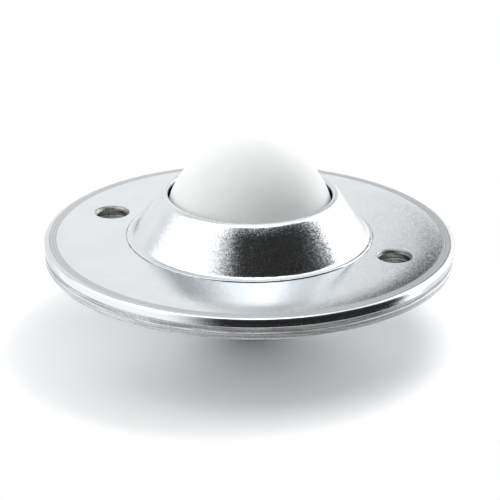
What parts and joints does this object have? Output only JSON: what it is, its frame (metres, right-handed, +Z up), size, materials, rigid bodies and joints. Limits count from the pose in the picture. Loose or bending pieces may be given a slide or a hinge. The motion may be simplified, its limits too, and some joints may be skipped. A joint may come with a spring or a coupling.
{
  "type": "ball transfer unit",
  "caption": "Flange-mounted ball transfer unit: a white nylon load ball turns on a bed of small steel balls in a pressed cup, held by a conical collar.",
  "frame": {"origin": "on the flange's underside, the mounting face, in the middle between the two screw holes", "axes": "+Z up out of the load ball, along the screw holes' axes; the screw holes lie along X"},
  "size_m": [0.073, 0.073, 0.036],
  "materials": {
    "cover_plating": "bright plated sheet steel, slightly satin with a fine grain",
    "collar_plating": "bright plated turned steel, satin",
    "race_steel": "hardened sheet steel, dark at the sheared edge",
    "housing_plating": "plated sheet steel, satin",
    "nylon": "white moulded and ground nylon, soft sheen",
    "bearing_steel": "polished hardened steel balls"
  },
  "bodies": {
    "housing": {"cover_flange": "cover_plating", "race_cup": "race_steel", "housing_cup": "housing_plating", "retaining_collar": "collar_plating"},
    "ball_bed": {"support_ball_bottom": "bearing_steel", "support_balls_row_1": "bearing_steel", "support_balls_row_2": "bearing_steel", "support_balls_row_3": "bearing_steel", "support_balls_row_4": "bearing_steel", "support_balls_row_5": "bearing_steel", "support_balls_row_6": "bearing_steel"},
    "load_ball": {"load_ball": "nylon"}
  },
  "joints": [
    {"name": "bed_turn", "type": "hinge", "parent": "housing", "child": "ball_bed", "pos_m": [0, 0, 0.0061], "axis": [0, 0, 1], "continuous": true},
    {"name": "ball_roll", "type": "hinge", "parent": "ball_bed", "child": "load_ball", "pos_m": [0, 0, 0.0061], "axis": [1, 0, 0], "continuous": true}
  ]
}
